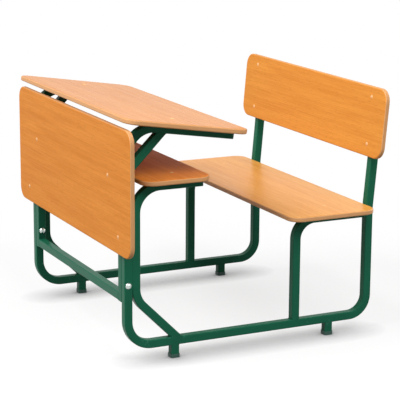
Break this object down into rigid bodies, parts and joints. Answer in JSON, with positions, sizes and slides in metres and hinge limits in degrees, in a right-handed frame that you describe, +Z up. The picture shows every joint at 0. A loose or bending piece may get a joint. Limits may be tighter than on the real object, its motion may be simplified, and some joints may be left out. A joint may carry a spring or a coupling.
{
  "type": "double desk",
  "caption": "School double desk with attached bench: sloping top, book shelf, front panel, seat and backrest boards on bent square-tube side frames.",
  "frame": {"origin": "on the floor, under the middle of the overall box", "axes": "+X along the boards, towards the sitter's left; +Y from the front panel back to the bench; +Z up"},
  "size_m": [0.928, 0.899, 0.7736],
  "materials": {
    "board": "clear satin lacquer over a straight-grained veneer",
    "bright_steel": "bright zinc plate",
    "foot_plastic": "moulded, matt",
    "frame_paint": "dark green enamel, smooth, semi-gloss",
    "plug_plastic": "moulded, matt"
  },
  "bodies": {
    "root": {"arm_brace_left": "frame_paint", "arm_brace_right": "frame_paint", "arm_plug_left": "plug_plastic", "arm_plug_right": "plug_plastic", "back_board": "board", "back_bolts": "bright_steel", "back_nuts": "bright_steel", "book_shelf": "board", "cross_post_left": "frame_paint", "cross_post_right": "frame_paint", "desk_bolts": "bright_steel", "desk_lug_left": "frame_paint", "desk_lug_right": "frame_paint", "desk_nuts": "bright_steel", "desk_top": "board", "foot_cap_front_left": "foot_plastic", "foot_cap_front_right": "foot_plastic", "foot_cap_rear_left": "foot_plastic", "foot_cap_rear_right": "foot_plastic", "foot_stub_front_left": "frame_paint", "foot_stub_front_right": "frame_paint", "foot_stub_rear_left": "frame_paint", "foot_stub_rear_right": "frame_paint", "frame_bolts": "bright_steel", "front_panel": "board", "main_tube_left": "frame_paint", "main_tube_right": "frame_paint", "panel_bolts": "bright_steel", "panel_nuts": "bright_steel", "panel_screws": "bright_steel", "seat_board": "board", "seat_bolts": "bright_steel", "seat_lug_left": "frame_paint", "seat_lug_right": "frame_paint", "seat_nuts": "bright_steel", "seat_tube_left": "frame_paint", "seat_tube_right": "frame_paint", "shelf_bolts": "bright_steel", "shelf_lug_left": "frame_paint", "shelf_lug_right": "frame_paint", "shelf_nuts": "bright_steel", "shelf_plug_left": "plug_plastic", "shelf_plug_right": "plug_plastic", "shelf_tube_left": "frame_paint", "shelf_tube_right": "frame_paint", "sleeve_nuts": "bright_steel", "stretcher": "frame_paint", "upper_rail": "frame_paint", "upright_plug_left": "plug_plastic", "upright_plug_right": "plug_plastic"}
  },
  "joints": []
}
